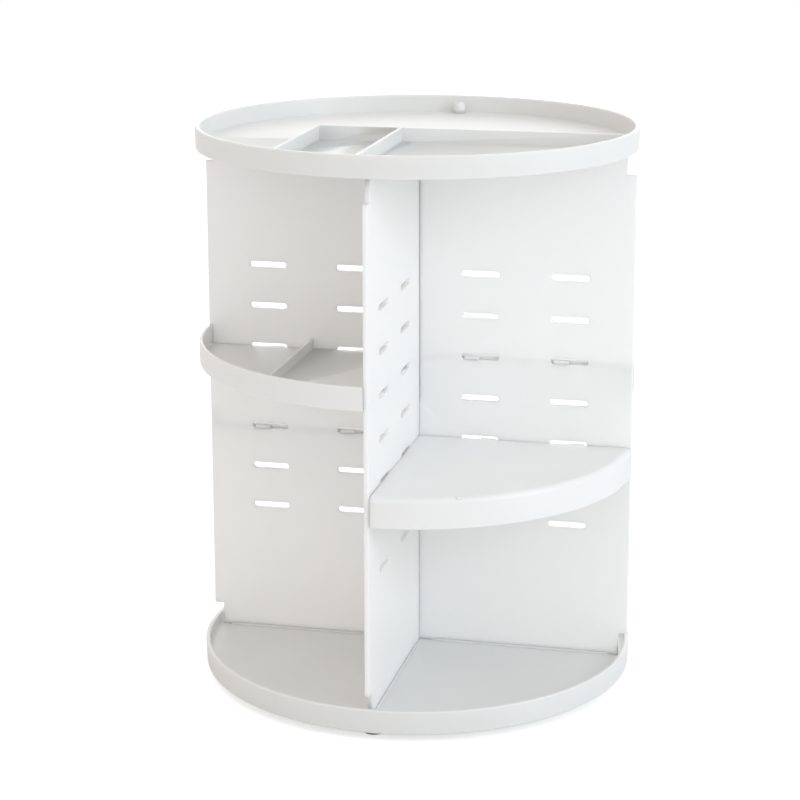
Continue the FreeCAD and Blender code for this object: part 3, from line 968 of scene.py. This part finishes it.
@dataclass
class CupShelf(Shelf):
    """A shelf with its rim up and a low divider."""

    divider_offset: float = 57.5
    divider_wall: float = 1.6
    divider_height: float = 5.5
    divider_round: float = 0.35
    lip_round: float = 0.7
    floor_round: float = 0.6

    @property
    def lip(self) -> float:
        """Height of the rim's top over the slots' middle."""
        return self.belly + self.depth

    def profile(self) -> list[Point]:
        """The section from the axis outwards and back."""
        inside = self.radius - self.rim_wall
        return [
            (0.0, self.belly),
            (self.radius, self.belly),
            (self.radius, self.lip),
            (inside, self.lip),
            (inside, self.face),
            (0.0, self.face),
        ]

    def roundings(self) -> list[tuple[Point, float]]:
        """The rings to round, with their radii."""
        inside = self.radius - self.rim_wall
        return [
            ((self.radius, self.belly), self.shoulder),
            ((self.radius, self.lip), self.lip_round),
            ((inside, self.lip), self.lip_round),
            ((inside, self.face), self.floor_round),
        ]

    def extras(self) -> Iterable[bmesh.types.BMesh]:
        """The low divider."""
        half = self.divider_wall / 2
        root = self.radius - self.rim_wall / 2
        reach = math.sqrt(root**2 - (self.divider_offset + half) ** 2)
        wall = block(
            (self.divider_offset - half, self.edge, self.face - SUNK),
            (self.divider_offset + half, reach, self.face + self.divider_height),
        )
        soften(wall, self.divider_round, 3)
        yield wall


@dataclass
class FlatShelf(Shelf):
    """A shelf with a flat top, a round shoulder and a skirt down."""

    depth: float = 15.7
    shoulder: float = 3.0
    nub_radius: float = 1.1
    nub_height: float = 0.3
    nub_inset: float = 1.5
    nub_angle: float = math.radians(22.5)
    nub_dome: float = 0.5
    hem_round: float = 0.5
    belly_round: float = 0.8

    def profile(self) -> list[Point]:
        """The section from the axis outwards and back."""
        inside, hem = self.radius - self.rim_wall, self.face - self.depth
        return [
            (0.0, self.belly),
            (inside, self.belly),
            (inside, hem),
            (self.radius, hem),
            (self.radius, self.face),
            (0.0, self.face),
        ]

    def roundings(self) -> list[tuple[Point, float]]:
        """The rings to round, with their radii."""
        inside, hem = self.radius - self.rim_wall, self.face - self.depth
        return [
            ((self.radius, self.face), self.shoulder),
            ((self.radius, hem), self.hem_round),
            ((inside, hem), self.hem_round),
            ((inside, self.belly), self.belly_round),
        ]

    def extras(self) -> Iterable[bmesh.types.BMesh]:
        """The small nub on the shoulder."""
        reach = self.radius - self.nub_inset
        centre = (reach * math.cos(self.nub_angle), reach * math.sin(self.nub_angle))
        height = self.nub_height + self.plate / 2
        yield stud(centre, self.face - self.plate / 2, self.nub_radius, height, self.nub_dome)


@dataclass
class Turntable:
    """The foot and the bearing, whose nodes stay as they are and get their finishes."""

    finishes: dict[str, Finish] = field(
        default_factory=lambda: {
            "foot_disc": FOOT_WHITE,
            "lower_race": RACE_WHITE,
            "upper_race": RACE_WHITE,
            "ball_cage": RACE_WHITE,
            "bearing_balls": STEEL,
            "race_screws": STEEL,
            "centre_washer": STEEL,
            "centre_screw": STEEL,
            "rubber_foot_1": RUBBER,
            "rubber_foot_2": RUBBER,
            "rubber_foot_3": RUBBER,
            "rubber_foot_4": RUBBER,
        }
    )

    def dress(self, palette: Palette, nodes: dict[str, bpy.types.Object]) -> None:
        """Give each node its finish.

        Args:
            palette: the finishes.
            nodes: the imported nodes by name.
        """
        for name, finish in self.finishes.items():
            mesh = nodes[name].data
            mesh.materials.clear()
            mesh.materials.append(palette.of(finish))
            LOG.info("%s: %s", name, finish.name)


# ---------------------------------------------------------------- studio


@dataclass
class Lamp:
    """A soft square lamp that looks at a point."""

    name: str
    place: tuple[float, float, float]
    size: float
    power: float
    aim: tuple[float, float, float] = (0.0, 0.0, 0.15)
    colour: Colour = WHITE

    def build(self) -> bpy.types.Object:
        """Build the lamp."""
        light = bpy.data.lights.new(self.name, "AREA")
        light.shape = "SQUARE"
        light.size = self.size
        light.energy = self.power
        light.color = self.colour
        lamp = bpy.data.objects.new(self.name, light)
        lamp.location = self.place
        look = Vector(self.aim) - Vector(self.place)
        lamp.rotation_euler = look.to_track_quat("-Z", "Y").to_euler()
        bpy.context.scene.collection.objects.link(lamp)
        return lamp


@dataclass
class Studio:
    """The floor, the white surround, the lamps and the camera."""

    camera_place: tuple[float, float, float] = (0.25043, -1.1234, 0.45577)
    camera_turn: float = 12.567
    camera_pitch: float = 12.989
    lens: float = 100.49
    shift: tuple[float, float] = (-0.0219, -0.1)
    floor_size: float = 6.0
    floor_glow: float = 0.6
    left_ambient: Colour = (0.78, 0.74, 0.695)
    right_ambient: Colour = (0.77, 0.785, 0.81)
    tint_reach: float = 0.7
    floor_paint: Colour = (0.9, 0.9, 0.9)
    lamps: tuple[Lamp, ...] = (
        Lamp("key_lamp", (2.2, -0.9, 1.0), 1.2, 16.5, colour=(0.86, 0.945, 1.0)),
        Lamp("back_lamp", (-0.3, 2.4, 1.1), 2.2, 13.0),
        Lamp("front_lamp", (-0.3, -2.6, 1.2), 2.0, 3.0),
    )

    def build(self) -> None:
        """Build the whole studio."""
        self.floor()
        self.surround()
        for lamp in self.lamps:
            lamp.build()
        self.camera()

    def camera(self) -> None:
        """The camera, a little above the object and to its right."""
        data = bpy.data.cameras.new("camera")
        data.lens = self.lens
        data.sensor_width = 36.0
        data.shift_x, data.shift_y = self.shift
        data.clip_start = 0.05
        data.clip_end = 30.0
        camera = bpy.data.objects.new("camera", data)
        camera.location = self.camera_place
        pitch = math.radians(90 - self.camera_pitch)
        camera.rotation_euler = (pitch, 0.0, math.radians(self.camera_turn))
        bpy.context.scene.collection.objects.link(camera)
        bpy.context.scene.camera = camera

    def floor(self) -> None:
        """The pale floor, which keeps the object's shadow."""
        bm = bmesh.new()
        bmesh.ops.create_grid(bm, x_segments=1, y_segments=1, size=self.floor_size / 2)
        mesh = bpy.data.meshes.new("floor")
        bm.to_mesh(mesh)
        bm.free()
        material = bpy.data.materials.new("pale floor")
        material.use_nodes = True
        tree = material.node_tree
        tree.nodes.remove(tree.nodes["Principled BSDF"])
        paint = add(tree, "ShaderNodeBsdfDiffuse", "paint")
        paint.inputs["Color"].default_value = (*self.floor_paint, 1.0)
        add(tree, "ShaderNodeEmission", "glow")
        add(tree, "ShaderNodeLightPath", "rays")
        strength = add(tree, "ShaderNodeMath", "seen", operation="MULTIPLY")
        strength.inputs[1].default_value = self.floor_glow
        add(tree, "ShaderNodeAddShader", "both")
        wire(tree, ("rays", "Is Camera Ray"), ("seen", "Value"))
        wire(tree, ("seen", "Value"), ("glow", "Strength"))
        tree.links.new(tree.nodes["paint"].outputs[0], tree.nodes["both"].inputs[0])
        tree.links.new(tree.nodes["glow"].outputs[0], tree.nodes["both"].inputs[1])
        tree.links.new(
            tree.nodes["both"].outputs[0], tree.nodes["Material Output"].inputs["Surface"]
        )
        mesh.materials.append(material)
        floor = bpy.data.objects.new("floor", mesh)
        bpy.context.scene.collection.objects.link(floor)

    def surround(self) -> None:
        """A plain pale surround, white where the camera or a reflection sees it."""
        world = bpy.data.worlds.new("surround")
        bpy.context.scene.world = world
        world.use_nodes = True
        tree = world.node_tree
        background = tree.nodes["Background"]
        background.inputs["Strength"].default_value = 1.0
        rays = add(tree, "ShaderNodeLightPath", "rays")
        white = add(tree, "ShaderNodeMath", "mirrored", operation="MAXIMUM")
        tree.links.new(rays.outputs["Is Glossy Ray"], white.inputs[0])
        tree.links.new(rays.outputs["Is Transmission Ray"], white.inputs[1])
        seen = add(tree, "ShaderNodeMath", "seen", operation="MAXIMUM")
        tree.links.new(rays.outputs["Is Camera Ray"], seen.inputs[0])
        tree.links.new(white.outputs["Value"], seen.inputs[1])
        add(tree, "ShaderNodeTexCoord", "direction")
        add(tree, "ShaderNodeSeparateXYZ", "parts")
        side = add(tree, "ShaderNodeMapRange", "side", interpolation_type="SMOOTHSTEP")
        side.inputs["From Min"].default_value = -self.tint_reach
        side.inputs["From Max"].default_value = self.tint_reach
        wire(tree, ("direction", "Generated"), ("parts", "Vector"))
        wire(tree, ("parts", "X"), ("side", "Value"))
        tint = self.blend(tree, "tint", self.left_ambient, self.right_ambient)
        shown = self.blend(tree, "shown", WHITE, WHITE)
        tree.links.new(side.outputs["Result"], tree.nodes["tint"].inputs["Factor"])
        tree.links.new(seen.outputs["Value"], tree.nodes["shown"].inputs["Factor"])
        first = next(socket for socket in tree.nodes["shown"].inputs if socket.type == "RGBA")
        tree.links.new(tint, first)
        tree.links.new(shown, background.inputs["Color"])

    def blend(
        self, tree: bpy.types.NodeTree, name: str, first: Colour, second: Colour
    ) -> bpy.types.NodeSocket:
        """Add a node that mixes two colours.

        Args:
            tree: the tree it goes into.
            name: its name in the tree.
            first: the colour at a factor of 0.
            second: the colour at a factor of 1.

        Returns:
            The mixed colour's socket.
        """
        node = add(tree, "ShaderNodeMix", name, data_type="RGBA")
        sockets = [socket for socket in node.inputs if socket.type == "RGBA"]
        for socket, colour in zip(sockets, (first, second)):
            socket.default_value = (*colour, 1.0)
        return next(socket for socket in node.outputs if socket.type == "RGBA")


def main() -> None:
    """Dress the whole tower and set the studio."""
    logging.basicConfig(level=logging.INFO, format="%(message)s")
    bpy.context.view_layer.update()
    palette = Palette()
    upper_level, lower_level = 172.12, 127.46
    parts = (
        BaseTray(),
        TopTray(),
        Board("board_left_right", 0.0, open_at_top=True),
        Board("board_front_rear", math.pi / 2, open_at_top=False),
        FlatShelf(Quarter.REAR_RIGHT, upper_level),
        CupShelf(Quarter.REAR_LEFT, lower_level),
        CupShelf(Quarter.FRONT_LEFT, upper_level),
        FlatShelf(Quarter.FRONT_RIGHT, lower_level),
    )
    for part in parts:
        part.build(palette)
    Turntable().dress(palette, frame["nodes"])
    Studio().build()
    bpy.context.scene.view_settings.view_transform = "Standard"


if __name__ == "__main__":
    main()
